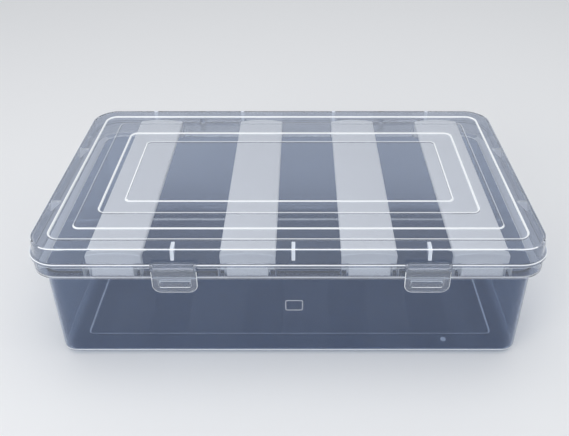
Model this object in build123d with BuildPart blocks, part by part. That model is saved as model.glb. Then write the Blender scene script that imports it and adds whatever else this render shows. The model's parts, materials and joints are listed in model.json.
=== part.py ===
"""A clear moulded bangle box: a drafted tray with an upright rim, a hinged lid
with two swing latches, and four lift-out hollow bars that carry the bangles.

Frame: X runs along the box, Y from the latches to the hinges, Z up.
The origin is the centre of the footprint, on the surface the box stands on.
All sizes are in millimetres.
"""

from build123d import *
from math import atan, degrees, radians, tan
import os

# Tray: its rim is a band that stands on a ledge, outside the drafted walls
BAND_LENGTH = 340.0
BAND_DEPTH = 202.0
BAND_CORNER = 20.0
BAND_HEIGHT = 11.0
WALL_HEIGHT = 75.4
TRAY_WALL = 1.3
LEDGE_WIDTH = 6.5
LEDGE_THICKNESS = 1.3
WALL_DRAFT = 1.2
BOTTOM_ROUND = 5.0
FLOOR_THICKNESS = 1.4

# Panel in the floor, a little lower than the ring round it, on which the box stands
PANEL_MARGIN_X = 14.1
PANEL_MARGIN_Y = 19.5
PANEL_CORNER = 4.0
PANEL_DROP = 0.8
PANEL_STEP_WALL = 0.8

# Blank raised frame on the front wall, and the dot that the mould's gate leaves
BADGE_X = 3.7
BADGE_Z = 47.0
BADGE_LENGTH = 12.0
BADGE_HEIGHT = 9.0
BADGE_CORNER = 1.5
BADGE_LINE = 0.6
BADGE_PROUD = 0.3
GATE_DOT_X = 111.0
GATE_DOT_INSET = 15.0
GATE_DOT_RADIUS = 1.5
GATE_DOT_HEIGHT = 0.8

# Lid
SEAM_GAP = 0.3
LID_HEIGHT = 12.3
LID_WALL = 1.4
LID_FLARE = 1.0
LID_EDGE_ROUND = 1.2
PLATE_THICKNESS = 1.4
PLATE_STEP = 0.8
LIP_PROUD = 1.4
LIP_RISE = 1.2
LIP_DROP = 1.4
LIP_CLEARANCE = 0.3

# Margins of the four stepped loops in the lid's top, from its outer edge, and their corners
LOOP_MARGINS_X = (11.6, 25.0, 38.0, 53.0)
LOOP_MARGINS_Y = (11.6, 23.0, 42.0, 56.0)
LOOP_CORNERS = (8.0, 5.0, 5.0, 4.0)

# Corner ribs inside the lid's front edge
CORNER_RIB_X = (-74.1, 3.5, 90.9)
CORNER_RIB_THICKNESS = 2.8
CORNER_RIB_REACH = 8.0
CORNER_RIB_DROP = 8.0

# Bars, placed along the box as shares of the band's length: a low arched beam on two feet
BAR_PLACES = (-0.3341, -0.0774, 0.1553, 0.37)
BAR_WIDTH = 37.2
BAR_HEIGHT = 15.2
BAR_WALL = 1.4
BEAM_HEIGHT = 5.6
BEAM_CROWN = 1.8
BEAM_SIDE_LEAN = 0.6
BEAM_EDGE_ROUND = 2.4
BEAM_END_ROUND = 0.8
FOOT_THICKNESS = 3.0
BAR_SEAT_GAP = 0.2
BAR_END_CLEARANCE = 4.8
TONGUE_WIDTH = 27.0
COVER_THICKNESS = 1.2
COVER_REBATE = 0.7
COVER_CLEARANCE = 0.1

# Pockets of low gusset ribs on the ledge: the inner two hold a bar's tongue
POCKET_CLEARANCE = 0.3
POCKET_RIB = 1.0
POCKET_RIB_DROP = 2.2
POCKET_RIB_SLOPE = 3.6
OUTER_RIB_GAP = 3.2

# Hinges: each has three ears and a moulded pin on the tray, and two clips on the lid
HINGE_X = 79.0
HINGE_LENGTH = 77.0
HINGE_PIN_RADIUS = 1.5
HINGE_PIN_CLEARANCE = 0.08
HINGE_OFFSET = 3.6
HINGE_BELOW_LIP = 0.3
EAR_RADIUS = 2.9
EAR_THICKNESS = 3.5
EAR_GAP = 0.3
EAR_ROOT_HEIGHT = 8.0
CLIP_RADIUS = 3.0
CLIP_ROOT_HEIGHT = 4.0
CLIP_MOUTH = 2.4
CLIP_MOUTH_ANGLE = -60.0
NOTCH_GAP = 0.5

# Latches
LATCH_X = (-73.4, 90.1)
LATCH_WIDTH = 29.4
LATCH_THICKNESS = 1.5
LATCH_BAND_GAP = 0.75
LATCH_BELOW_BAND = 8.8
LATCH_CORNER = 6.0
LATCH_SHOULDER_DROP = 2.6
LATCH_PIN_RADIUS = 0.9
LATCH_PIN_CLEARANCE = 0.08
LATCH_PIN_OFFSET = 2.25
LATCH_PIN_RISE = 0.5
LATCH_EAR_RADIUS = 1.95
LATCH_EAR_THICKNESS = 1.5
LATCH_EAR_GAP = 0.3
KNUCKLE_RADIUS = 1.95
KNUCKLE_ROOT_HEIGHT = 2.4
KNUCKLE_MOUTH = 1.4
KNUCKLE_MOUTH_ANGLE = 150.0
HOOK_WIDTH = 20.0
HOOK_REACH = 1.0
HOOK_HEIGHT = 2.4
HOOK_TIP_HEIGHT = 1.0
HOOK_CLEARANCE = 0.3
LATCH_RIM_WIDTH = 1.2
LATCH_RIM_PROUD = 0.8
LATCH_STEP_MARGIN = 4.2
LATCH_STEP_PROUD = 0.4

# Levels
ring_bottom = PANEL_DROP
ring_top = PANEL_DROP + FLOOR_THICKNESS
band_bottom = WALL_HEIGHT
ledge_top = band_bottom + LEDGE_THICKNESS
seam = band_bottom + BAND_HEIGHT
lid_base = seam + SEAM_GAP
lid_top = lid_base + LID_HEIGHT
lip_bottom = lid_base - LIP_DROP
plate_bottom = lid_top - PLATE_THICKNESS

# Tray
wall_length = BAND_LENGTH - 2 * LEDGE_WIDTH
wall_depth = BAND_DEPTH - 2 * LEDGE_WIDTH
wall_corner = BAND_CORNER - LEDGE_WIDTH
wall_lean = tan(radians(WALL_DRAFT))
foot_length = wall_length - 2 * (band_bottom - ring_bottom) * wall_lean
foot_depth = wall_depth - 2 * (band_bottom - ring_bottom) * wall_lean
panel_length = foot_length - 2 * PANEL_MARGIN_X
panel_depth = foot_depth - 2 * PANEL_MARGIN_Y

# Lid
lid_length = BAND_LENGTH - 2 * LID_FLARE
lid_depth = BAND_DEPTH - 2 * LID_FLARE
skirt_draft = degrees(atan(LID_FLARE / LID_HEIGHT))

# Bars and their pockets
bar_xs = [place * BAND_LENGTH for place in BAR_PLACES]
rim_inner_depth = BAND_DEPTH - 2 * TRAY_WALL
rib_depth = LEDGE_WIDTH
rib_top = seam - POCKET_RIB_DROP
bar_length = rim_inner_depth - 2 * BAR_END_CLEARANCE
bar_bottom = ledge_top + BAR_SEAT_GAP
bar_top = bar_bottom + BAR_HEIGHT
beam_bottom = bar_top - BEAM_HEIGHT
beam_foot_width = BAR_WIDTH - 2 * BEAM_SIDE_LEAN
foot_outside = rim_inner_depth / 2 - rib_depth - POCKET_CLEARANCE
foot_inside = foot_outside - FOOT_THICKNESS

# Hinges
hinge_y = BAND_DEPTH / 2 + HINGE_OFFSET
hinge_z = lip_bottom - HINGE_BELOW_LIP
clip_length = (HINGE_LENGTH - 3 * EAR_THICKNESS) / 2 - 2 * EAR_GAP
clip_offset = (HINGE_LENGTH - EAR_THICKNESS) / 4

# Latches
latch_y = -BAND_DEPTH / 2 - LATCH_PIN_OFFSET
latch_z = lid_base + LATCH_PIN_RISE
latch_inner = -BAND_DEPTH / 2 - LATCH_BAND_GAP
latch_outer = latch_inner - LATCH_THICKNESS
latch_bottom = band_bottom - LATCH_BELOW_BAND
latch_shoulder = latch_z - LATCH_SHOULDER_DROP
latch_pin_length = LATCH_WIDTH - 2 * LATCH_EAR_THICKNESS
knuckle_length = latch_pin_length - 2 * LATCH_EAR_GAP
hook_top = band_bottom - HOOK_CLEARANCE
hook_tip = -BAND_DEPTH / 2 + HOOK_REACH


def level(z, x=0.0):
    """A horizontal plane at one height."""
    return Plane(origin=(x, 0, z), x_dir=(1, 0, 0), z_dir=(0, 0, 1))


def side_plane(x):
    """A plane facing along X, whose sketch axes are the box's Y and Z."""
    return Plane(origin=(x, 0, 0), x_dir=(0, 1, 0), z_dir=(1, 0, 0))


def front_plane(y):
    """A plane facing the latches, whose sketch axes are the box's X and Z."""
    return Plane(origin=(0, y, 0), x_dir=(1, 0, 0), z_dir=(0, -1, 0))


def rounded(length, depth, corner, inset=0.0):
    """Draws a rounded rectangle, with its outline moved inwards by the inset."""
    RectangleRounded(length - 2 * inset, depth - 2 * inset, corner - inset)


def lid_loop(index, inset=0.0):
    """Draws one of the lid's stepped loops, moved inwards by the inset."""
    length = lid_length - 2 * LOOP_MARGINS_X[index]
    depth = lid_depth - 2 * LOOP_MARGINS_Y[index]
    rounded(length, depth, LOOP_CORNERS[index], inset)


def beam_section(x, bottom, inset):
    """Draws the beam's section, moved inwards: a low arch over two sides that lean in below."""
    half = BAR_WIDTH / 2 - inset
    shoulder = bar_top - BEAM_CROWN - inset
    with BuildLine() as outline:
        ThreePointArc((x - half, shoulder), (x, bar_top - inset), (x + half, shoulder))
        Polyline(
            (x + half, shoulder),
            (x + half - BEAM_SIDE_LEAN, bottom),
            (x - half + BEAM_SIDE_LEAN, bottom),
            (x - half, shoulder),
        )
    make_face(outline.edges())


def polygon(*points):
    """Draws a filled polygon through the points, where they lie."""
    Polygon(*points, align=None)


def mouth(y, z, reach, width, angle):
    """Cuts a slot out of a sketched ring, from its centre outwards, for the pin to snap in."""
    with Locations((y, z)):
        Rectangle(reach, width, rotation=angle, align=(Align.MIN, Align.CENTER), mode=Mode.SUBTRACT)


os.makedirs("parts", exist_ok=True)

# Inside of the tub, rounded where its walls meet its floor
with BuildPart() as tub_hollow:
    with BuildSketch(level(ledge_top)):
        rounded(wall_length, wall_depth, wall_corner, TRAY_WALL)
    extrude(amount=ledge_top - ring_top, dir=(0, 0, -1), taper=WALL_DRAFT)
    fillet(tub_hollow.edges().group_by(Axis.Z)[0], BOTTOM_ROUND - TRAY_WALL)

with BuildPart() as tray:
    # Drafted tub below the band
    with BuildSketch(level(band_bottom)):
        rounded(wall_length, wall_depth, wall_corner)
    extrude(amount=band_bottom - ring_bottom, dir=(0, 0, -1), taper=WALL_DRAFT)
    fillet(tray.edges().group_by(Axis.Z)[0], BOTTOM_ROUND)

    # Ledge and upright band
    with BuildSketch(level(band_bottom)):
        rounded(BAND_LENGTH, BAND_DEPTH, BAND_CORNER)
    extrude(amount=BAND_HEIGHT)
    with BuildSketch(level(ledge_top)):
        rounded(BAND_LENGTH, BAND_DEPTH, BAND_CORNER, TRAY_WALL)
    extrude(amount=BAND_HEIGHT, mode=Mode.SUBTRACT)
    add(tub_hollow.part, mode=Mode.SUBTRACT)

    # Lowered floor panel
    with BuildSketch(level(0)):
        rounded(panel_length, panel_depth, PANEL_CORNER)
    extrude(amount=ring_top)
    with BuildSketch(level(FLOOR_THICKNESS)):
        rounded(panel_length, panel_depth, PANEL_CORNER, PANEL_STEP_WALL)
    extrude(amount=PANEL_DROP, mode=Mode.SUBTRACT)

    # Four gusset ribs round each end of each bar, lower towards the inside
    rib_root = rim_inner_depth / 2 + TRAY_WALL / 2
    rib_nose = rim_inner_depth / 2 - rib_depth
    inner_rib = TONGUE_WIDTH / 2 + POCKET_CLEARANCE + POCKET_RIB / 2
    for bar_x in bar_xs:
        for rib_x in (inner_rib, inner_rib + OUTER_RIB_GAP + POCKET_RIB):
            for rib_side in (-1, 1):
                with BuildSketch(side_plane(bar_x + rib_side * rib_x)):
                    for end in (-1, 1):
                        polygon(
                            (end * rib_root, band_bottom),
                            (end * rib_nose, band_bottom),
                            (end * rib_nose, rib_top - POCKET_RIB_SLOPE),
                            (end * rib_root, rib_top),
                        )
                extrude(amount=POCKET_RIB / 2, both=True)

    # Hinge ears, each a bracket on the back of the band, and the pins between them
    ear_root = BAND_DEPTH / 2 - TRAY_WALL / 2
    for hinge_x in (-HINGE_X, HINGE_X):
        for place in (-1, 0, 1):
            with BuildSketch(side_plane(hinge_x + place * (HINGE_LENGTH - EAR_THICKNESS) / 2)):
                with Locations((hinge_y, hinge_z)):
                    Circle(EAR_RADIUS)
                polygon(
                    (ear_root, hinge_z),
                    (hinge_y, hinge_z + EAR_RADIUS),
                    (hinge_y + EAR_RADIUS, hinge_z),
                    (ear_root, hinge_z - EAR_ROOT_HEIGHT),
                )
            extrude(amount=EAR_THICKNESS / 2, both=True)
        with BuildSketch(side_plane(hinge_x)):
            with Locations((hinge_y, hinge_z)):
                Circle(HINGE_PIN_RADIUS)
        extrude(amount=(HINGE_LENGTH - EAR_THICKNESS) / 2, both=True)

    # Blank badge frame, and the gate dot on the floor
    badge_face = -wall_depth / 2 + (band_bottom - BADGE_Z) * wall_lean
    with BuildSketch(front_plane(badge_face - BADGE_PROUD)):
        with Locations((BADGE_X, BADGE_Z)):
            rounded(BADGE_LENGTH, BADGE_HEIGHT, BADGE_CORNER)
            RectangleRounded(
                BADGE_LENGTH - 2 * BADGE_LINE,
                BADGE_HEIGHT - 2 * BADGE_LINE,
                BADGE_CORNER - BADGE_LINE,
                mode=Mode.SUBTRACT,
            )
    extrude(amount=-(BADGE_PROUD + TRAY_WALL / 2))
    with BuildSketch(level(ring_top - FLOOR_THICKNESS / 2)):
        with Locations((GATE_DOT_X, -foot_depth / 2 + GATE_DOT_INSET)):
            Circle(GATE_DOT_RADIUS)
    extrude(amount=FLOOR_THICKNESS / 2 + GATE_DOT_HEIGHT)

tray.part.label = "tray"
export_step(tray.part, "parts/tray.step")

with BuildPart() as lid:
    # Flared skirt under a flat top
    with BuildSketch(level(lid_base)):
        rounded(BAND_LENGTH, BAND_DEPTH, BAND_CORNER)
    extrude(amount=LID_HEIGHT, taper=skirt_draft)
    fillet(lid.edges().group_by(Axis.Z)[-1], LID_EDGE_ROUND)
    with BuildSketch(level(lid_base)):
        rounded(BAND_LENGTH, BAND_DEPTH, BAND_CORNER, LID_WALL)
    extrude(amount=plate_bottom - lid_base, taper=skirt_draft, mode=Mode.SUBTRACT)

    # Two sunk rings in the top, between the first and second loops and the third and fourth
    for outer, inner in ((0, 1), (2, 3)):
        with BuildSketch(level(plate_bottom)):
            lid_loop(outer, -PLATE_STEP)
            with BuildSketch(mode=Mode.SUBTRACT):
                lid_loop(inner, PLATE_STEP)
        extrude(amount=-PLATE_STEP)
        with BuildSketch(level(lid_top)):
            lid_loop(outer)
            with BuildSketch(mode=Mode.SUBTRACT):
                lid_loop(inner)
        extrude(amount=-PLATE_STEP, mode=Mode.SUBTRACT)

    # Bead along the skirt's foot, and the lip that hangs from it over the band
    with BuildSketch(level(lid_base)):
        rounded(BAND_LENGTH, BAND_DEPTH, BAND_CORNER, -LIP_PROUD)
        with BuildSketch(mode=Mode.SUBTRACT):
            rounded(BAND_LENGTH, BAND_DEPTH, BAND_CORNER, LID_WALL / 2)
    extrude(amount=LIP_RISE)
    with BuildSketch(level(lid_base)):
        rounded(BAND_LENGTH, BAND_DEPTH, BAND_CORNER, -LIP_PROUD)
        with BuildSketch(mode=Mode.SUBTRACT):
            rounded(BAND_LENGTH, BAND_DEPTH, BAND_CORNER, -LIP_CLEARANCE)
    extrude(amount=-LIP_DROP)

    # Notches in bead and lip, which make room for the hinges and the latches
    notch_z = (lip_bottom + lid_base + LIP_RISE) / 2
    notch_y = BAND_DEPTH / 2 + LIP_PROUD
    for notch_x, width, side in (
        (-HINGE_X, HINGE_LENGTH, 1),
        (HINGE_X, HINGE_LENGTH, 1),
        (LATCH_X[0], LATCH_WIDTH, -1),
        (LATCH_X[1], LATCH_WIDTH, -1),
    ):
        with BuildSketch(level(lip_bottom, notch_x)):
            with Locations((0, side * notch_y)):
                Rectangle(width + 2 * NOTCH_GAP, 2 * LIP_PROUD)
        extrude(amount=LIP_DROP + LIP_RISE, mode=Mode.SUBTRACT)

    # Hinge clips, each a split ring on a root behind the skirt
    clip_root = BAND_DEPTH / 2 - LID_WALL / 2
    for hinge_x in (-HINGE_X, HINGE_X):
        for side in (-1, 1):
            with BuildSketch(side_plane(hinge_x + side * clip_offset)):
                with Locations((hinge_y, hinge_z)):
                    Circle(CLIP_RADIUS)
                polygon(
                    (clip_root, lid_base),
                    (clip_root, lid_base + CLIP_ROOT_HEIGHT),
                    (hinge_y, hinge_z + CLIP_RADIUS),
                    (hinge_y - CLIP_RADIUS / 2, lid_base),
                )
                with Locations((hinge_y, hinge_z)):
                    Circle(HINGE_PIN_RADIUS + HINGE_PIN_CLEARANCE, mode=Mode.SUBTRACT)
                mouth(hinge_y, hinge_z, 2 * CLIP_RADIUS, CLIP_MOUTH, CLIP_MOUTH_ANGLE)
            extrude(amount=clip_length / 2, both=True)

    # Latch knuckles on the front of the skirt
    knuckle_root = -BAND_DEPTH / 2 + LID_WALL / 2
    for latch_x in LATCH_X:
        with BuildSketch(side_plane(latch_x)):
            with Locations((latch_y, latch_z)):
                Circle(KNUCKLE_RADIUS)
            polygon(
                (knuckle_root, lid_base),
                (knuckle_root, lid_base + KNUCKLE_ROOT_HEIGHT),
                (latch_y, latch_z + KNUCKLE_RADIUS),
                (latch_y + KNUCKLE_RADIUS / 2, lid_base),
            )
            with Locations((latch_y, latch_z)):
                Circle(LATCH_PIN_RADIUS + LATCH_PIN_CLEARANCE, mode=Mode.SUBTRACT)
            mouth(latch_y, latch_z, 2 * KNUCKLE_RADIUS, KNUCKLE_MOUTH, KNUCKLE_MOUTH_ANGLE)
        extrude(amount=knuckle_length / 2, both=True)

    # Corner ribs between the top and the front of the skirt
    rib_root = -lid_depth / 2 + LID_WALL / 2
    rib_foot = rib_root - (CORNER_RIB_DROP + PLATE_THICKNESS) * LID_FLARE / LID_HEIGHT
    for rib_x in CORNER_RIB_X:
        with BuildSketch(side_plane(rib_x)):
            polygon(
                (rib_root, plate_bottom + PLATE_THICKNESS / 2),
                (rib_root + CORNER_RIB_REACH, plate_bottom + PLATE_THICKNESS / 2),
                (rib_root + CORNER_RIB_REACH, plate_bottom),
                (rib_foot, plate_bottom - CORNER_RIB_DROP),
            )
        extrude(amount=CORNER_RIB_THICKNESS / 2, both=True)

lid.part.label = "lid"
export_step(lid.part, "parts/lid.step")

for latch_x, latch_name in zip(LATCH_X, ("latch_left", "latch_right")):
    with BuildPart() as latch:
        # Plate with rounded lower corners, and the dish in its face, which leaves a raised border
        plate_z = (latch_bottom + latch_shoulder) / 2
        plate_height = latch_shoulder - latch_bottom
        with BuildSketch(front_plane(latch_inner)) as outline:
            with Locations((latch_x, plate_z)):
                Rectangle(LATCH_WIDTH, plate_height)
            fillet(outline.vertices().group_by(Axis.Y)[0], LATCH_CORNER)
        extrude(amount=LATCH_THICKNESS + LATCH_RIM_PROUD)
        for margin, proud in ((LATCH_RIM_WIDTH, LATCH_STEP_PROUD), (LATCH_STEP_MARGIN, 0.0)):
            with BuildSketch(front_plane(latch_outer - proud)) as dish:
                with Locations((latch_x, plate_z)):
                    Rectangle(LATCH_WIDTH - 2 * margin, plate_height - 2 * margin)
                fillet(dish.vertices().group_by(Axis.Y)[0], LATCH_CORNER - margin)
            extrude(amount=LATCH_RIM_PROUD, mode=Mode.SUBTRACT)

        # Ears and the pin between them
        for side in (-1, 1):
            with BuildSketch(side_plane(latch_x + side * (LATCH_WIDTH - LATCH_EAR_THICKNESS) / 2)):
                with Locations((latch_y, latch_z)):
                    Circle(LATCH_EAR_RADIUS)
                polygon(
                    (latch_y - LATCH_EAR_RADIUS, latch_z),
                    (latch_y + LATCH_EAR_RADIUS, latch_z),
                    (latch_inner, latch_shoulder - LATCH_EAR_RADIUS),
                    (latch_outer, latch_shoulder - LATCH_EAR_RADIUS),
                )
            extrude(amount=LATCH_EAR_THICKNESS / 2, both=True)
        with BuildSketch(side_plane(latch_x)):
            with Locations((latch_y, latch_z)):
                Circle(LATCH_PIN_RADIUS)
        extrude(amount=(latch_pin_length + LATCH_EAR_THICKNESS) / 2, both=True)

        # Hook that catches under the band
        with BuildSketch(side_plane(latch_x)):
            polygon(
                (latch_inner - LATCH_THICKNESS / 2, hook_top),
                (hook_tip, hook_top),
                (hook_tip, hook_top - HOOK_TIP_HEIGHT),
                (latch_inner - LATCH_THICKNESS / 2, hook_top - HOOK_HEIGHT),
            )
        extrude(amount=HOOK_WIDTH / 2, both=True)

    latch.part.label = latch_name
    export_step(latch.part, f"parts/{latch_name}.step")

for number, bar_x in enumerate(bar_xs, start=1):
    with BuildPart() as beam_hollow:
        with BuildSketch(front_plane(0)):
            beam_section(bar_x, beam_bottom + COVER_THICKNESS, BAR_WALL)
        extrude(amount=bar_length / 2 - BAR_WALL, both=True)

    with BuildPart() as bar_shell:
        # Arched beam, soft along its shoulders and at its ends
        with BuildSketch(front_plane(0)):
            beam_section(bar_x, beam_bottom, 0.0)
        extrude(amount=bar_length / 2, both=True)
        fillet(bar_shell.edges().filter_by(Axis.Y).group_by(Axis.Z)[-1], BEAM_EDGE_ROUND)
        end_edges = bar_shell.edges().group_by(Axis.Y)
        above = beam_bottom + BEAM_END_ROUND
        fillet([edge for edge in end_edges[0] + end_edges[-1] if edge.center().Z > above], BEAM_END_ROUND)

        # Feet: a wide wall that stops against the ribs, and a tongue between them
        foot_middle = (foot_inside + foot_outside) / 2
        tongue_end = bar_length / 2
        with BuildSketch(level(bar_bottom, bar_x)):
            with Locations((0, -foot_middle), (0, foot_middle)):
                Rectangle(beam_foot_width, FOOT_THICKNESS)
            with Locations((0, -(foot_inside + tongue_end) / 2), (0, (foot_inside + tongue_end) / 2)):
                Rectangle(TONGUE_WIDTH, tongue_end - foot_inside)
        extrude(amount=beam_bottom + COVER_THICKNESS - bar_bottom)

        # Hollow, and the rebate that seats the cover
        add(beam_hollow.part, mode=Mode.SUBTRACT)
        with BuildSketch(level(beam_bottom, bar_x)):
            Rectangle(beam_foot_width - 2 * (BAR_WALL - COVER_REBATE), 2 * foot_inside)
        extrude(amount=COVER_THICKNESS, mode=Mode.SUBTRACT)

    bar_shell.part.label = f"bar_{number}_shell"
    export_step(bar_shell.part, f"parts/bar_{number}_shell.step")

    with BuildPart() as bar_cover:
        # Flat cover in the rebate
        cover_width = beam_foot_width - 2 * (BAR_WALL - COVER_REBATE + COVER_CLEARANCE)
        with BuildSketch(level(beam_bottom, bar_x)):
            Rectangle(cover_width, 2 * (foot_inside - COVER_CLEARANCE))
        extrude(amount=COVER_THICKNESS)

    bar_cover.part.label = f"bar_{number}_cover"
    export_step(bar_cover.part, f"parts/bar_{number}_cover.step")
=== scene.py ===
# %% [markdown]
# # A clear box for bangles
# The box has five kinds of moulding: a drafted tray, a stepped lid, two latches, four milky
# bars and the covers that close the bars. The CAD model fixes every size and every joint.
# Here each moulding gets the softened edges that a mould leaves, because in clear plastic
# the edges are what the eye sees, and then its finish.

import json
import math

import bmesh
import bpy
from mathutils import Matrix, Vector


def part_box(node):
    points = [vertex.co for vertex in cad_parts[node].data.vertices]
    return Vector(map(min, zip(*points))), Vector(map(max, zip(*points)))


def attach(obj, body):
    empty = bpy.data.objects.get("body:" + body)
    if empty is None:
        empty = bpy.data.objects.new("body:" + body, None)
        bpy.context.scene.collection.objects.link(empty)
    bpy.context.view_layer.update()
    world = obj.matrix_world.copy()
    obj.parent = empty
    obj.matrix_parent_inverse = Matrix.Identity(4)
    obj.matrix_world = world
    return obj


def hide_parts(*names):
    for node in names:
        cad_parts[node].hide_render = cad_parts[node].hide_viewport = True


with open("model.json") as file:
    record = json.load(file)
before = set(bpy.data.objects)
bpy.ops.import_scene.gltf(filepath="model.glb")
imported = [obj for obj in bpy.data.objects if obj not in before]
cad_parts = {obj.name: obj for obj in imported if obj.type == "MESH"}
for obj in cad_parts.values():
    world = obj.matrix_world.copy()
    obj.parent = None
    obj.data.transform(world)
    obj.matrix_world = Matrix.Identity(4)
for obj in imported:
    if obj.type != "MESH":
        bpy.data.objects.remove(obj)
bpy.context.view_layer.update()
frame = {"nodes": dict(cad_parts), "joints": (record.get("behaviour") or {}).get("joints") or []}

MM = 0.001
tray_low, tray_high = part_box("tray")

# %% [markdown]
# ## Where the camera stands
# The photograph was taken from above the front edge. The lines that run back along the box
# meet at one point, and the spacing of the lines across the box gives the pitch. The lens's
# axis isn't in the middle of the picture. Turning the camera would tilt the upright lines,
# so it gets a small shift instead. Depth of field stays off.

# %% Camera
PICTURE_WIDTH, PICTURE_HEIGHT = 569, 436
FOCAL_PIXELS, SENSOR_WIDTH = 707.9, 36.0
PITCH = math.radians(30.31)
AXIS_X, AXIS_Y = 301.5, 165.0
CAMERA_PLACE = (8.7, -460.5, 371.5)


def in_scene(name, data):
    """An object for a mesh, a lamp or a camera, linked to the scene."""
    thing = bpy.data.objects.new(name, data)
    bpy.context.scene.collection.objects.link(thing)
    return thing


camera_data = bpy.data.cameras.new("camera")
camera_data.sensor_width = SENSOR_WIDTH
camera_data.lens = FOCAL_PIXELS * SENSOR_WIDTH / PICTURE_WIDTH
camera_data.shift_x = (PICTURE_WIDTH / 2 - AXIS_X) / PICTURE_WIDTH
camera_data.shift_y = (AXIS_Y - PICTURE_HEIGHT / 2) / PICTURE_WIDTH
camera = in_scene("camera", camera_data)
camera.location = Vector(CAMERA_PLACE) * MM
camera.rotation_euler = (math.pi / 2 - PITCH, 0, 0)
bpy.context.scene.camera = camera
bpy.context.scene.view_settings.view_transform = "Standard"
print(f"lens {camera_data.lens:.1f} mm, shift {camera_data.shift_x:.4f}, {camera_data.shift_y:.4f}")

# %% [markdown]
# ## Writing a finish as sums
# A finish is a small net of nodes. Adding each node by hand hides the idea, so one class
# wraps a socket and turns plus, minus and times into Math nodes. A second one adds any other
# node from its type, its settings and what goes into it.


# %% Signals and recipes
class Signal:
    """A number that varies over a surface, and that sums can be written with."""

    def __init__(self, recipe, socket):
        self.recipe, self.socket = recipe, socket

    def sum(self, operation, first, second):
        return self.recipe.add("ShaderNodeMath", {"operation": operation}, {0: first, 1: second})

    def __add__(self, other):
        return self.sum("ADD", self, other)

    def __radd__(self, other):
        return self.sum("ADD", other, self)

    def __sub__(self, other):
        return self.sum("SUBTRACT", self, other)

    def __rsub__(self, other):
        return self.sum("SUBTRACT", other, self)

    def __mul__(self, other):
        return self.sum("MULTIPLY", self, other)

    def __rmul__(self, other):
        return self.sum("MULTIPLY", other, self)

    def __gt__(self, other):
        return self.sum("GREATER_THAN", self, other)


class Recipe:
    """A net of nodes, for a finish or for a shape."""

    def __init__(self, tree):
        self.tree = tree

    def feed(self, node, inputs):
        """Links a node's sockets to signals, and sets the others to plain values."""
        for name, value in inputs.items():
            if isinstance(value, Signal):
                self.tree.links.new(value.socket, node.inputs[name])
            else:
                node.inputs[name].default_value = value

    def add(self, kind, settings=None, inputs=None, output=0):
        """Adds a node, sets it up, feeds its sockets, and gives back one of its outputs."""
        node = self.tree.nodes.new(kind)
        for name, value in (settings or {}).items():
            setattr(node, name, value)
        self.feed(node, inputs or {})
        return Signal(self, node.outputs[output])


print("a finish can now be written as sums")

# %% [markdown]
# ## The floor and the light
# A clear object is drawn by what it bends and mirrors. Small lamps would leave hard white
# spots on it, so a pale studio and wide soft lamps light it, and give its edges long bright
# lines. The floor lies a hair below the box, because two faces in one place would fight for
# the same ray.

# %% Studio
FLOOR_SIZE, FLOOR_DROP = 6.0, 0.0002
FLOOR_COLOUR, FLOOR_ROUGHNESS, FLOOR_SHINE = (0.86, 0.865, 0.88, 1.0), 0.9, 0.1
AIR_COLOUR, AIR_STRENGTH = (0.86, 0.88, 0.90, 1.0), 0.60
BOX_MIDDLE = (0.0, 0.0, 0.05)


def blank_finish(name):
    """A new material, its recipe, and its Principled shader."""
    finish = bpy.data.materials.new(name)
    finish.use_nodes = True
    return finish, Recipe(finish.node_tree), finish.node_tree.nodes["Principled BSDF"]


def softbox(name, place, size, power):
    """A square lamp that is turned to the middle of the box."""
    lamp_data = bpy.data.lights.new(name, "AREA")
    lamp_data.shape = "SQUARE"
    lamp_data.size = size
    lamp_data.energy = power
    lamp = in_scene(name, lamp_data)
    lamp.location = place
    lamp.rotation_euler = (Vector(BOX_MIDDLE) - Vector(place)).to_track_quat("-Z", "Y").to_euler()


half_floor = FLOOR_SIZE / 2
floor_signs = ((-1, -1), (1, -1), (1, 1), (-1, 1))
floor_mesh = bpy.data.meshes.new("studio_floor")
floor_corners = [(x * half_floor, y * half_floor, -FLOOR_DROP) for x, y in floor_signs]
floor_mesh.from_pydata(floor_corners, [], [(0, 1, 2, 3)])
floor = in_scene("studio_floor", floor_mesh)
floor_finish, recipe, shader = blank_finish("studio_floor")
floor_look = {"Base Color": FLOOR_COLOUR, "Roughness": FLOOR_ROUGHNESS, "Specular IOR Level": FLOOR_SHINE}
recipe.feed(shader, floor_look)
floor.data.materials.append(floor_finish)

world = bpy.data.worlds.new("studio")
world.use_nodes = True
air = world.node_tree.nodes["Background"]
Recipe(world.node_tree).feed(air, {"Color": AIR_COLOUR, "Strength": AIR_STRENGTH})
bpy.context.scene.world = world

softbox("softbox_over", place=(0.0, -0.15, 1.5), size=1.5, power=8.5)
softbox("softbox_left", place=(-0.8, -1.0, 0.55), size=0.7, power=6.0)
softbox("softbox_right", place=(1.2, -0.2, 0.7), size=0.6, power=1.5)
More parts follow.
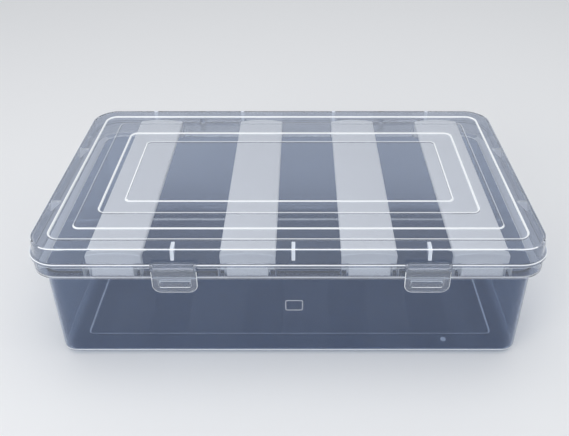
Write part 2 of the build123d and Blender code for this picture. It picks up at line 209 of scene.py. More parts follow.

# %% [markdown]
# ## Clear plastic
# Moulded polypropylene isn't glass. It is a little cloudy and a little blue-grey, its
# surface has faint flow waves, and handling leaves fine scratches. To the eye it bends light
# like glass, so the shader is Principled with transmission. For shadows and for light that
# fills the inside it is a plain tinted sheet, which keeps the inside bright and the picture
# clean: the Light Path node chooses between the two.
#
# One finish wouldn't do for the whole box. The tray looks the deepest in tint and the lid the
# palest, and the tray's band and the lid's skirt above it get a rim finish between the two:
# the tray's plastic painted lighter, where one looks through the plastic twice. The narrow
# ledge and the ribs on it scatter light and are satin. The edges get a whiter finish that
# glows a little: a painted highlight and a painted glow.

# %% Clear plastic
# the numbers of these nodes' sockets, where names are shared or outputs are chosen
MIX_FACTOR, MIX_A, MIX_B, MIX_RESULT = 0, 6, 7, 2
SHADOW_RAY, DIFFUSE_RAY = 1, 2
OBJECT_COORDINATES = 3
REFRACTION = 1.49
WAVES, WAVE_DEPTH, GRAIN, GRAIN_SHARE = 24.0, 0.0003, 900.0, 0.04
CLOUD, CLOUD_ROUGHNESS = 9.0, 0.03
SCUFF_STRETCH, SCUFF_LEVEL = (14.0, 900.0, 900.0), 0.72
# the colour of the painted glow on the edges
PAINTED_GLOW_COLOUR = (0.90, 0.95, 1.0, 1)


def tints(recipe, factor, first, second):
    """A colour between two tints."""
    return recipe.add(
        "ShaderNodeMix",
        {"data_type": "RGBA"},
        {MIX_FACTOR: factor, MIX_A: (*first, 1), MIX_B: (*second, 1)},
        MIX_RESULT,
    )


def noise(recipe, place, scale, detail=3.0):
    """Soft noise, from 0 to 1, with a grain of one over the scale, in metres."""
    return recipe.add("ShaderNodeTexNoise", inputs={"Vector": place, "Scale": scale, "Detail": detail})


def place_on_object(recipe, stretch=(1.0, 1.0, 1.0)):
    """Object coordinates, stretched."""
    place = recipe.add("ShaderNodeTexCoord", output=OBJECT_COORDINATES)
    return recipe.add("ShaderNodeMapping", inputs={"Vector": place, "Scale": stretch})


def bumps(recipe, height, depth):
    """Gentle bumps of a depth in metres."""
    return recipe.add("ShaderNodeBump", inputs={"Strength": 0.2, "Distance": depth, "Height": height})


def clear_finish(name, pale, deep, sheet, clearness, roughness, scratches, painted_glow=0.0):
    """A clear plastic, from its two tints, its tint as a plain sheet, and how much it has of the rest."""
    finish, recipe, shader = blank_finish(name)
    place = place_on_object(recipe)
    waves = noise(recipe, place, WAVES)
    grain = noise(recipe, place, GRAIN, detail=2.0)
    scuffs = noise(recipe, place_on_object(recipe, SCUFF_STRETCH), 1.0, detail=4.0) > SCUFF_LEVEL
    cloud = noise(recipe, place, CLOUD)
    recipe.feed(
        shader,
        {
            "Base Color": tints(recipe, cloud, pale, deep),
            "Roughness": roughness + CLOUD_ROUGHNESS * cloud + scratches * scuffs,
            "Normal": bumps(recipe, waves + GRAIN_SHARE * grain, WAVE_DEPTH),
            "Transmission Weight": clearness,
            "IOR": REFRACTION,
            "Emission Color": PAINTED_GLOW_COLOUR,
            "Emission Strength": painted_glow,
        },
    )
    bent = Signal(recipe, shader.outputs[0])
    plain = recipe.add("ShaderNodeBsdfTransparent", inputs={"Color": (*sheet, 1)})
    shadow, filling = (recipe.add("ShaderNodeLightPath", output=ray) for ray in (SHADOW_RAY, DIFFUSE_RAY))
    both = recipe.add("ShaderNodeMixShader", inputs={0: shadow + filling, 1: bent, 2: plain})
    recipe.feed(finish.node_tree.nodes["Material Output"], {"Surface": both})
    return finish


# name, pale tint, deep tint, tint as a sheet, clearness, roughness, scratches and painted glow
CLEAR_PLASTICS = (
    ("lid", (0.79, 0.82, 0.88), (0.75, 0.78, 0.85), (0.93, 0.94, 0.96), 0.97, 0.02, 0.08),
    ("tray", (0.40, 0.465, 0.58), (0.35, 0.415, 0.54), (0.66, 0.70, 0.76), 0.97, 0.03, 0.04),
    # the rim finish: the tray's plastic painted lighter, where one looks through the plastic twice
    ("rim", (0.56, 0.60, 0.67), (0.51, 0.55, 0.63), (0.92, 0.93, 0.95), 0.95, 0.03, 0.06),
    ("latch", (0.67, 0.70, 0.76), (0.61, 0.65, 0.72), (0.90, 0.92, 0.94), 0.90, 0.06, 0.06),
    # the edge finish: a painted highlight, whiter than the rest and with a painted glow
    ("edge", (0.98, 0.99, 1.0), (0.94, 0.96, 0.99), (0.90, 0.92, 0.94), 0.20, 0.15, 0.0, 0.14),
    ("ledge", (0.86, 0.87, 0.90), (0.80, 0.82, 0.86), (0.88, 0.90, 0.92), 0.55, 0.35, 0.0),
)
clear_plastics = [clear_finish("clear_plastic_" + name, *rest) for name, *rest in CLEAR_PLASTICS]
lid_plastic, tray_plastic, lightened_rim_plastic, latch_plastic, painted_highlight_plastic, satin_ledge = clear_plastics
print("made", [finish.name for finish in clear_plastics])

# %% [markdown]
# ## Milky plastic
# The bars are the same plastic with a white filler. A plain white paint would look like
# card. Light goes a few millimetres into the real bars and comes out softly, so subsurface
# scattering suits them, under a satin surface.

# %% Milky plastic
MILK_CLOUD, MILK_GRAIN, MILK_GRAIN_DEPTH, MILK_DEPTH = 30.0, 1400.0, 0.0001, 0.004

milky_plastic, recipe, shader = blank_finish("milky_plastic")
place = place_on_object(recipe)
cloud = noise(recipe, place, MILK_CLOUD)
recipe.feed(
    shader,
    {
        "Base Color": tints(recipe, cloud, (0.93, 0.92, 0.90), (0.97, 0.96, 0.95)),
        "Roughness": 0.34 + 0.10 * cloud,
        "Normal": bumps(recipe, noise(recipe, place, MILK_GRAIN, detail=2.0), MILK_GRAIN_DEPTH),
        "Subsurface Weight": 0.5,
        "Subsurface Radius": (MILK_DEPTH, MILK_DEPTH, MILK_DEPTH),
        "Subsurface Scale": 1.0,
        "IOR": REFRACTION,
    },
)
print("made", milky_plastic.name)

# %% [markdown]
# ## Softened loops
# Tray and lid are walls of even thickness that follow rounded rectangles. A cube with
# modifiers could make them, but then each bevel would have to fit the next wall. So each is
# lofted through level loops instead: first along one skin, round the rim, and back along the
# other. A loop is half its length, half its depth, the radii of its front and back corners,
# its height, and how round the edge is there. Where an edge is round, the loop becomes a
# short arc of loops, as a mould's cutter would leave it. The arc gets the painted highlight
# finish, unless its radius is written as a negative number: that edge is round but stays clear.

# %% Arcs and softened loops
# the finishes: clear face, painted highlight, satin, and the rim painted lighter
FACE, PAINTED_HIGHLIGHT, SATIN, LIGHTENED_RIM = 0, 1, 2, 3
ACROSS, UP, ROUND = 0, 4, 5
CORNER_STEPS = 12
EDGE_STEPS, EDGE_STEPS_PER_MM = 4, 4
RUN_SHARE = 0.49
STRAIGHT = math.radians(5)


def arc(start, corner, end, turn, steps):
    """Points on the arc between two runs that would meet at a corner."""
    weight = math.cos(turn / 2)
    points = []
    for step in range(steps + 1):
        t = step / steps
        a, b, c = (1 - t) ** 2, 2 * weight * t * (1 - t), t * t
        points.append((start * a + corner * b + end * c) / (a + b + c))
    return points


def soften(loops):
    """Turns each loop with a round edge into an arc of loops, each with the finish of the strip after it."""
    softened = [(Vector(loops[0][:ROUND]), FACE)]
    for before, here, after in zip(loops, loops[1:], loops[2:]):
        edge = abs(here[ROUND])
        point = Vector(here[:ROUND])
        back, forth = Vector(before[:ROUND]) - point, Vector(after[:ROUND]) - point
        run_back, run_forth = math.hypot(back[ACROSS], back[UP]), math.hypot(forth[ACROSS], forth[UP])
        turn = Vector((-back[ACROSS], -back[UP])).angle(Vector((forth[ACROSS], forth[UP])), 0.0)
        if not edge or turn < STRAIGHT:
            softened.append((point, FACE))
            continue
        reach = min(edge * math.tan(turn / 2), RUN_SHARE * run_back, RUN_SHARE * run_forth)
        start, end = point + back * (reach / run_back), point + forth * (reach / run_forth)
        finish = PAINTED_HIGHLIGHT if here[ROUND] > 0 else FACE
        *levels, last = arc(start, point, end, turn, max(EDGE_STEPS, round(EDGE_STEPS_PER_MM * edge)))
        softened += [(level, finish) for level in levels] + [(last, FACE)]
    softened.append((Vector(loops[-1][:ROUND]), FACE))
    return softened


def loop_points(half_x, half_y, front, back, z):
    """A level rounded rectangle, anticlockwise seen from above."""
    points = []
    for quarter, (side_x, side_y) in enumerate(((1, 1), (-1, 1), (-1, -1), (1, -1))):
        corner = back if side_y > 0 else front
        for step in range(CORNER_STEPS + 1):
            angle = (quarter + step / CORNER_STEPS) * math.pi / 2
            x = side_x * (half_x - corner) + corner * math.cos(angle)
            y = side_y * (half_y - corner) + corner * math.sin(angle)
            points.append((x, y, z))
    return points


rim_half = (tray_high.x / MM, -tray_low.y / MM)
RIM_CORNER = 20.0
print("rim, mm:", [round(2 * side, 1) for side in rim_half])

# %% Lofts
LEAST_CORNER = 0.2


def placed(name, mesh):
    """An object for a mesh, with the face, painted highlight, satin and painted lighter rim finishes. Its own
    face finish comes later.
    """
    for finish in (tray_plastic, painted_highlight_plastic, satin_ledge, lightened_rim_plastic):
        mesh.materials.append(finish)
    return in_scene(name, mesh)


def loft(name, loops):
    """A closed solid through loops in millimetres, from a face that looks down to one that looks up."""
    softened = soften(loops)
    rings = [loop_points(*loop) for loop, finish in softened]
    count = len(rings[0])
    faces = [tuple(reversed(range(count)))]
    finishes = [FACE]
    for level in range(len(rings) - 1):
        start = level * count
        finishes += [softened[level][1]] * count
        for here in range(count):
            after = (here + 1) % count
            faces.append((start + here, start + after, start + count + after, start + count + here))
    faces.append(tuple(range((len(rings) - 1) * count, len(rings) * count)))
    mesh = bpy.data.meshes.new(name)
    mesh.from_pydata([Vector(point) * MM for ring in rings for point in ring], [], faces)
    mesh.polygons.foreach_set("material_index", finishes + [FACE])
    return placed(name, mesh)


def concentric(half, corner, inset, z, edge=0.0):
    """A loop at an even inset from a given one."""
    radius = max(corner - inset, LEAST_CORNER)
    return (half[0] - inset, half[1] - inset, radius, radius, z, edge)


def rim_loop(inset, z, edge=0.0):
    """A loop at an inset from the tray's rim."""
    return concentric(rim_half, RIM_CORNER, inset, z, edge)


print("points in each loop:", 4 * (CORNER_STEPS + 1))

# %% [markdown]
# ## Which faces get a painted highlight
# In the photograph the steps and edges of the clear parts are white lines, and beside some
# of them runs a thin bright strip. Here they are painted highlights. A line painted by a
# texture would blur, so whole strips of faces get the painted highlight finish: the loops
# stand close together where a line has to be, and a face is chosen by where its centre lies
# and where it looks.

# %% Choosing faces
# the widths of the painted highlight strips
HIGHLIGHT_STRIP, PANEL_HIGHLIGHT = 1.0, 0.7
UPWARDS, UPRIGHT, LEVEL = 0.99, 0.1, 0.01


def refinish(piece, finish, chosen, present=None):
    """Gives another finish to faces, chosen by their centre, in millimetres, normal and present finish."""
    for face in piece.data.polygons:
        if present in (None, face.material_index) and chosen(face.center / MM, face.normal):
            face.material_index = finish


def on_level(centre, normal, z):
    """Whether a face looks up and lies at a height."""
    return normal.z > UPWARDS and abs(centre.z - z) < LEVEL


def outside(half, corner, centre):
    """How far a point lies outside a rounded rectangle. Inside it the number is negative."""
    across, along = abs(centre.x) - half[0] + corner, abs(centre.y) - half[1] + corner
    return math.hypot(max(across, 0), max(along, 0)) + min(max(across, along), 0) - corner


def highlight_strip(piece, half, corner, z, start=0.0, end=HIGHLIGHT_STRIP, front=-math.inf):
    """Gives the painted highlight finish to a level strip, from start to end outside a loop, and behind a
    front in Y.
    """
    refinish(
        piece,
        PAINTED_HIGHLIGHT,
        lambda centre, normal: on_level(centre, normal, z)
        and start < outside(half, corner, centre) < end
        and centre.y > front,
    )


def finish_counts(piece):
    """How many faces have the face, painted highlight, satin and painted lighter rim finish."""
    finishes = [face.material_index for face in piece.data.polygons]
    return [finishes.count(finish) for finish in (FACE, PAINTED_HIGHLIGHT, SATIN, LIGHTENED_RIM)]


print("bright strips, mm wide:", HIGHLIGHT_STRIP, PANEL_HIGHLIGHT)

# %% [markdown]
# ## The tray's shell
# The tray's walls lean in by 1.2 degrees so that it comes out of its mould. Its rim is a
# band that stands on a narrow ledge outside the walls. The floor's middle is a panel, 0.8 mm
# lower than the ring round it. A satin line shows on the band where the ledge lies behind it,
# and a painted highlight at the foot, on part of the wall's rounding.

# %% Tray shell
WALL, LEDGE = 1.3, 6.5
BAND_BOTTOM, LEDGE_TOP, SEAM = 75.4, 76.7, 86.4
RING_BOTTOM, RING_TOP, FLOOR = 0.8, 2.2, 1.4
WALL_LEAN = math.tan(math.radians(1.2))
PANEL_MARGIN, PANEL_CORNER, STEP_WALL = (14.1, 19.5), 4.0, 0.8
LEDGE_LINE, LEDGE_LINE_HEIGHT = 76.9, 1.1
CLOSING_INSET = 3.0

outer_foot = LEDGE + (BAND_BOTTOM - RING_BOTTOM) * WALL_LEAN
inner_foot = LEDGE + WALL + (LEDGE_TOP - RING_TOP) * WALL_LEAN
panel_half = tuple(side - outer_foot - margin for side, margin in zip(rim_half, PANEL_MARGIN))


def panel_loop(inset, z, edge=0.0):
    """A loop at an inset from the outer side of the floor's panel."""
    return concentric(panel_half, PANEL_CORNER, inset, z, edge)


# each loop's inset, height and roundness; the arcs of a positive roundness get the painted highlight
tray_shell = loft(
    "tray_shell",
    [
        panel_loop(CLOSING_INSET, 0.0),
        panel_loop(0.0, 0.0, 0.25),
        panel_loop(0.0, RING_BOTTOM, -0.3),
        rim_loop(outer_foot, RING_BOTTOM, -5.0),
        rim_loop(LEDGE, BAND_BOTTOM, -0.8),
        rim_loop(0.0, BAND_BOTTOM, 0.4),
        rim_loop(0.0, LEDGE_LINE - LEDGE_LINE_HEIGHT / 2),
        rim_loop(0.0, LEDGE_LINE + LEDGE_LINE_HEIGHT / 2),
        rim_loop(0.0, SEAM, 0.3),
        rim_loop(WALL, SEAM, -0.3),
        rim_loop(WALL, LEDGE_TOP, -0.6),
        rim_loop(LEDGE + WALL, LEDGE_TOP, 0.35),
        rim_loop(inner_foot, RING_TOP, -3.7),
        panel_loop(STEP_WALL - PANEL_HIGHLIGHT, RING_TOP),
        panel_loop(STEP_WALL, RING_TOP, 0.4),
        panel_loop(STEP_WALL, FLOOR, 0.3),
        panel_loop(CLOSING_INSET, FLOOR),
    ],
)
print("tray shell faces:", len(tray_shell.data.polygons))

# %% The tray's painted highlights and satin strips
FOOT_TOP, FOOT_SLOPE, INNER_SLOPE, INNER_MARGIN = 6.0, (-0.35, -0.15), (0.75, 0.9), 5.0

refinish(
    tray_shell,
    SATIN,
    lambda centre, normal: on_level(centre, normal, LEDGE_TOP) and abs(centre.x) > rim_half[0] - LEDGE - WALL,
)
panel_edge = tuple(side - STEP_WALL for side in panel_half)
# a painted highlight strip beside the panel's edge
highlight_strip(tray_shell, panel_edge, PANEL_CORNER - STEP_WALL, RING_TOP, end=PANEL_HIGHLIGHT)
refinish(
    tray_shell,
    SATIN,
    lambda centre, normal: abs(centre.z - LEDGE_LINE) < LEVEL and abs(normal.z) < UPRIGHT,
)
# painted highlights on part of the foot's outer rounding, and at the front on part of its inner rounding
refinish(
    tray_shell,
    PAINTED_HIGHLIGHT,
    lambda centre, normal: centre.z < FOOT_TOP and FOOT_SLOPE[0] < normal.z < FOOT_SLOPE[1],
)
refinish(
    tray_shell,
    PAINTED_HIGHLIGHT,
    lambda centre, normal: centre.z < FOOT_TOP
    and INNER_SLOPE[0] < normal.z < INNER_SLOPE[1]
    and normal.y > abs(normal.x)
    and centre.y < -panel_half[1] - INNER_MARGIN,
)
print("tray shell faces by finish:", finish_counts(tray_shell))

# %% [markdown]
# ## The lid's shell
# The lid's skirt flares to meet the tray's rim, and a bead runs round its foot, with a lip
# that hangs over the rim. The top is stepped: two sunk rings between four loops. The steps
# make a thin sheet stiff, and their roundings get the painted highlight lines on top of the
# box. Beside three of the loops a strip one millimetre wide gets a painted highlight as well.

# %% Lid shell
LID_WALL, PLATE, STEP = 1.4, 1.4, 0.8
LID_BASE, LIP_DROP, LIP_RISE, LIP_PROUD, LIP_GAP = 86.7, 1.4, 1.2, 1.4, 0.3
LID_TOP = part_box("lid")[1].z / MM
LID_FLARE = 1.0
lid_half = tuple(side - LID_FLARE for side in rim_half)
flare = LID_FLARE / (LID_TOP - LID_BASE)
under = LID_TOP - PLATE
LOOPS = (((11.6, 11.6), 8.0), ((25.0, 23.0), 5.0), ((38.0, 42.0), 5.0), ((53.0, 56.0), 4.0))
step_loops = [
    (tuple(side - margin for side, margin in zip(lid_half, margins)), corner)
    for margins, corner in LOOPS
]


def stepped(index, inset, z, edge=0.0):
    """One of the lid's loops, moved inwards."""
    half, corner = step_loops[index]
    return concentric(half, corner, inset, z, edge)


lid_shell = loft(
    "lid_shell",
    [
        stepped(3, CLOSING_INSET, under),
        stepped(3, STEP, under, -0.3),
        stepped(3, STEP, under - STEP, -0.3),
        stepped(2, -STEP, under - STEP, -0.3),
        stepped(2, -STEP, under, -0.3),
        stepped(1, STEP, under, -0.3),
        stepped(1, STEP, under - STEP, -0.3),
        stepped(0, -STEP, under - STEP, -0.3),
        stepped(0, -STEP, under, -0.3),
        rim_loop(LID_WALL + (under - LID_BASE) * flare, under, -1.0),
        rim_loop(LID_WALL, LID_BASE, -0.3),
        rim_loop(-LIP_GAP, LID_BASE, -0.15),
        rim_loop(-LIP_GAP, LID_BASE - LIP_DROP, -0.25),
        rim_loop(-LIP_PROUD, LID_BASE - LIP_DROP, 0.35),
        rim_loop(-LIP_PROUD, LID_BASE + LIP_RISE, 0.4),
        rim_loop(LIP_RISE * flare, LID_BASE + LIP_RISE, -0.4),
        rim_loop(LID_FLARE, LID_TOP, -1.2),
        stepped(0, -HIGHLIGHT_STRIP, LID_TOP),
        stepped(0, 0.0, LID_TOP, 0.45),
        stepped(0, 0.0, LID_TOP - STEP, 0.3),
        stepped(1, 0.0, LID_TOP - STEP, 0.3),
        stepped(1, 0.0, LID_TOP, 0.45),
        stepped(2, -HIGHLIGHT_STRIP, LID_TOP),
        stepped(2, 0.0, LID_TOP, 0.45),
        stepped(2, 0.0, LID_TOP - STEP, 0.3),
        stepped(3, 0.0, LID_TOP - STEP, 0.3),
        stepped(3, 0.0, LID_TOP, 0.45),
        stepped(3, HIGHLIGHT_STRIP, LID_TOP),
        stepped(3, CLOSING_INSET, LID_TOP),
    ],
)
print("lid shell faces:", len(lid_shell.data.polygons))

# %% The lid's painted highlight lines, and its skirt's finish, painted lighter
TOP_SLOPE, TOP_ROUND, TOP_MARGIN = (0.45, 0.85), 1.2, 3.0
SKIRT_ROUND = 1.0

# a painted highlight on the outer rounding of the top
refinish(
    lid_shell,
    PAINTED_HIGHLIGHT,
    lambda centre, normal: TOP_SLOPE[0] < normal.z < TOP_SLOPE[1]
    and centre.z > LID_TOP - TOP_ROUND
    and (abs(centre.x) > lid_half[0] - TOP_MARGIN or abs(centre.y) > lid_half[1] - TOP_MARGIN),
)
# a painted highlight on the steps' walls
refinish(
    lid_shell,
    PAINTED_HIGHLIGHT,
    lambda centre, normal: abs(normal.z) < UPRIGHT and LID_TOP - STEP < centre.z < LID_TOP,
)
# the skirt gets the rim finish: the tray's plastic painted lighter
refinish(lid_shell, LIGHTENED_RIM, lambda centre, normal: centre.z < under - SKIRT_ROUND, FACE)
# painted highlight strips beside three of the loops
for half, corner in (step_loops[0], step_loops[2]):
    highlight_strip(lid_shell, half, corner, LID_TOP)
middle_half, middle_corner = step_loops[3]
highlight_strip(lid_shell, middle_half, middle_corner, LID_TOP, -HIGHLIGHT_STRIP, 0.0, HIGHLIGHT_STRIP - middle_half[1])
print("lid shell faces by finish:", finish_counts(lid_shell))

# %% [markdown]
# ## Repeated details
# The bars stand between low gusset ribs, four at each end of each bar. They are all one rib,
# so Geometry Nodes sets it out on a cloud of points, and turns it round at the back, because
# a rib is always lower towards the inside. The tree makes the rib from named sizes and ends
# in Realize Instances, because only real mesh can join the tray.


# %% A tree that sets out ribs
def shape_tree(name, sizes):
    """An empty geometry tree with named sizes: its recipe, its inputs by name, and its output node."""
    tree = bpy.data.node_groups.new(name, "GeometryNodeTree")
    tree.interface.new_socket("Geometry", in_out="INPUT", socket_type="NodeSocketGeometry")
    for size in sizes:
        tree.interface.new_socket(size, in_out="INPUT", socket_type="NodeSocketFloat")
    tree.interface.new_socket("Geometry", in_out="OUTPUT", socket_type="NodeSocketGeometry")
    given = tree.nodes.new("NodeGroupInput")
    result = tree.nodes.new("NodeGroupOutput")
    recipe = Recipe(tree)
    return recipe, {socket.name: Signal(recipe, socket) for socket in given.outputs if socket.name}, result


recipe, given, result = shape_tree("gusset_ribs", ("Thickness", "Depth", "Height", "Slope"))
sizes = {0: given["Thickness"], 1: given["Depth"], 2: given["Height"]}
size = recipe.add("ShaderNodeCombineXYZ", inputs=sizes)
rib = recipe.add("GeometryNodeMeshCube", inputs={"Size": size})
place = recipe.add("GeometryNodeInputPosition")
across, upwards = (recipe.add("ShaderNodeSeparateXYZ", inputs={0: place}, output=axis) for axis in (1, 2))
drop = recipe.add("ShaderNodeCombineXYZ", inputs={2: 0.0 - given["Slope"]})
nose = (upwards > 0.0) * (across > 0.0)
rib = recipe.add("GeometryNodeSetPosition", inputs={"Geometry": rib, "Selection": nose, "Offset": drop})
turn = recipe.add("ShaderNodeCombineXYZ", inputs={2: (across > 0.0) * math.pi})
ribs = recipe.add(
    "GeometryNodeInstanceOnPoints", inputs={"Points": given["Geometry"], "Instance": rib, "Rotation": turn}
)
real = recipe.add("GeometryNodeRealizeInstances", inputs={"Geometry": ribs})
done = recipe.add("GeometryNodeSetMaterial", inputs={"Geometry": real, "Material": tray_plastic})
recipe.feed(result, {0: done})
rib_tree = recipe.tree
print("tree:", rib_tree.name, "with", len(rib_tree.nodes), "nodes")


# %% Ribs on the ledge, which make a pocket for each end of a bar
def settle(piece):
    """Turns what a piece's modifiers make into its plain mesh, and removes them."""
    bpy.context.view_layer.update()
    mesh = bpy.data.meshes.new_from_object(piece.evaluated_get(bpy.context.evaluated_depsgraph_get()))
    mesh.validate()
    piece.modifiers.clear()
    piece.data = mesh
    return piece


def grow(name, places, tree, sizes):
    """Runs a geometry tree on a cloud of points, and gives back plain mesh. All is in millimetres."""
    cloud = bpy.data.meshes.new(name)
    cloud.from_pydata([Vector(point) * MM for point in places], [], [])
    piece = in_scene(name, cloud)
    modifier = piece.modifiers.new(name, "NODES")
    modifier.node_group = tree
    for item in tree.interface.items_tree:
        if item.in_out == "INPUT" and item.name in sizes:
            modifier[item.identifier] = sizes[item.name] * MM
    return settle(piece)


bar_boxes = [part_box(f"bar_{number}_shell") for number in (1, 2, 3, 4)]
BAR_X = [(low.x + high.x) / 2 / MM for low, high in bar_boxes]
RIB, RIB_TOP, RIB_SLOPE, POCKET_GAP, OUTER_RIB_GAP = 1.0, 84.2, 3.6, 0.3, 3.2
TONGUE_HALF, BAR_HALF = 13.5, 18.6
rib_foot = LEDGE_TOP - WALL / 2
rib_y = rim_half[1] - WALL - LEDGE / 2 + WALL / 4
inner_rib = TONGUE_HALF + POCKET_GAP + RIB / 2
rib_places = [
    (bar + side * rib, end * rib_y, (RIB_TOP + rib_foot) / 2)
    for bar in BAR_X
    for rib in (inner_rib, inner_rib + OUTER_RIB_GAP + RIB)
    for side in (-1, 1)
    for end in (-1, 1)
]
rib_sizes = {"Thickness": RIB, "Depth": LEDGE + WALL / 2, "Height": RIB_TOP - rib_foot, "Slope": RIB_SLOPE}
pocket_ribs = grow("pocket_ribs", rib_places, rib_tree, rib_sizes)
print("pocket ribs:", len(rib_places))

# %% [markdown]
# ## Adding pieces together
# In clear plastic a piece that only pokes into another shows its hidden end. So details are
# joined to their shell with an exact Boolean, which leaves one closed skin. Blocks get a
# small bevel first, because no moulded edge is quite sharp.

# %% Blocks and outlines
BLOCK_EDGE, BEVEL_STEPS = 0.25, 3
OVERCUT = 1.0


def from_shape(name, shape):
    """A piece from a shape in metres, with its faces turned outwards."""
    bmesh.ops.recalc_face_normals(shape, faces=shape.faces[:])
    mesh = bpy.data.meshes.new(name)
    shape.to_mesh(mesh)
    shape.free()
    return placed(name, mesh)


def block(name, outline, start, end, edge=BLOCK_EDGE, finish=FACE, edge_finish=PAINTED_HIGHLIGHT):
    """An outline in Y and Z, in millimetres, drawn out along X, with bevelled edges."""
    shape = bmesh.new()
    end_face = shape.faces.new([shape.verts.new((start, y, z)) for y, z in outline])
    pushed = bmesh.ops.extrude_face_region(shape, geom=[end_face])["geom"]
    far_corners = [part for part in pushed if isinstance(part, bmesh.types.BMVert)]
    bmesh.ops.translate(shape, vec=(end - start, 0, 0), verts=far_corners)
    if edge:
        # the bevels get the painted highlight finish, unless another is given
        bmesh.ops.bevel(
            shape,
            geom=shape.edges[:],
            offset=edge,
            segments=BEVEL_STEPS,
            profile=0.5,
            affect="EDGES",
            material=edge_finish,
        )
    if finish != FACE:
        for face in shape.faces:
            face.material_index = finish
    shape.transform(Matrix.Scale(MM, 4))
    return from_shape(name, shape)


def circle(centre, radius, steps=32):
    """Points on a circle in Y and Z."""
    turns = [2 * math.pi * step / steps for step in range(steps)]
    return [(centre[0] + radius * math.cos(turn), centre[1] + radius * math.sin(turn)) for turn in turns]


def box_outline(side, near, far, low, high):
    """A rectangle in Y and Z, on the front side, -1, or the back, 1."""
    return [(side * near, low), (side * far, low), (side * far, high), (side * near, high)]


def span(middle, width):
    """Where a width starts and ends, from its middle."""
    return middle - width / 2, middle + width / 2


print("a block has bevels of", BLOCK_EDGE, "mm")

# %% Booleans, and the last step for every piece
SHARP = math.radians(40)


def gather(pieces):
    """Puts pieces that don't touch each other into one mesh."""
    first, *others = pieces
    shape = bmesh.new()
    for piece in pieces:
        shape.from_mesh(piece.data)
    for piece in others:
        bpy.data.objects.remove(piece)
    shape.to_mesh(first.data)
    shape.free()
    return first


def combine(piece, other, operation="UNION"):
    """Joins or cuts one closed mesh with another, exactly."""
    modifier = piece.modifiers.new("combine", "BOOLEAN")
    modifier.object, modifier.operation, modifier.solver = other, operation, "EXACT"
    settle(piece)
    bpy.data.objects.remove(other)
    return piece


def dress(piece, finish, body, node):
    """Smooths a piece's shading, gives it its finish, sets it on its body, and hides the node it stands in
    for.
    """
    piece.data.materials[FACE] = finish
    piece.data.shade_smooth()
    piece.data.set_sharp_from_angle(angle=SHARP)
    even = piece.modifiers.new("even_shading", "WEIGHTED_NORMAL")
    even.keep_sharp = True
    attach(piece, body)
    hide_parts(node)
    print(piece.name, "faces:", len(piece.data.polygons))


print("an edge is sharp from", round(math.degrees(SHARP)), "degrees")

# %% [markdown]
# ## Hinges and the tray's details
# The hinges aren't seen from the front, but every such box has them: three ears and a pin
# moulded on the tray, and between them two open clips on the lid that snap over the pin. Each
# ear is an outline drawn out along the pin, because it has the same section all the way.

# %% Ears and pins
HINGE_X, HINGE_LENGTH, HINGE_PIN = 79.0, 77.0, 1.5
EAR_RADIUS, EAR_THICKNESS, EAR_GAP, EAR_ROOT = 2.9, 3.5, 0.3, 8.0
EAR_END = ((0.94, -0.34), (1, 0), (0.87, 0.5), (0.5, 0.87), (0, 1), (-0.5, 0.82))


def axis_place(joint_name):
    """Where a joint's axis lies in Y and Z, in millimetres."""
    joint = next(joint for joint in frame["joints"] if joint["name"] == joint_name)
    return tuple(place / MM for place in joint["pos_m"][1:])


hinge = axis_place("lid_hinge")
ear_outline = [
    (rim_half[1] - WALL / 2, hinge[1] - EAR_ROOT),
    *((hinge[0] + EAR_RADIUS * y, hinge[1] + EAR_RADIUS * z) for y, z in EAR_END),
    (rim_half[1] - WALL / 2, hinge[1]),
]
half_span = (HINGE_LENGTH - EAR_THICKNESS) / 2
ears, pins = [], []
for middle in (-HINGE_X, HINGE_X):
    for x in (middle - half_span, middle, middle + half_span):
        ears.append(block("ear", ear_outline, *span(x, EAR_THICKNESS), edge_finish=FACE))
    pins.append(block("pin", circle(hinge, HINGE_PIN), *span(middle, 2 * half_span), edge=0))
for details in (gather(ears), gather(pins), pocket_ribs):
    tray_shell = combine(tray_shell, details)
print("tray faces with hinges and ribs:", len(tray_shell.data.polygons))

# %% [markdown]
# ## The badge frame and the gate dot
# The front wall carries a small raised frame, left blank, with a painted highlight on its
# rounding. On the floor stands a dot where the plastic entered the mould; it gets the painted
# highlight all over, a painted glint. Both are lofts like the shells, only small, and the frame
# is stood up so that its top looks at the front.

# %% Badge frame and gate dot
BADGE_X, BADGE_Z, BADGE_HALF = 3.7, 47.0, (6.0, 4.5)
BADGE_CORNER, BADGE_LINE, BADGE_PROUD, BADGE_ROUND = 1.5, 0.6, 0.3, 0.15
BADGE_DRAFT, BADGE_FIELD = 0.01, 0.02
GATE_X, GATE_INSET, GATE_RADIUS, GATE_HEIGHT, GATE_ROUND, GATE_FLAT = 111.5, 13.5, 2.0, 0.8, 0.3, 0.8


def upright(piece, x, y, z):
    """Stands a lofted piece up, so that its top looks at the front, and sets it in place."""
    piece.data.transform(Matrix.Translation(Vector((x, y, z)) * MM) @ Matrix.Rotation(math.pi / 2, 4, "X"))
    return piece


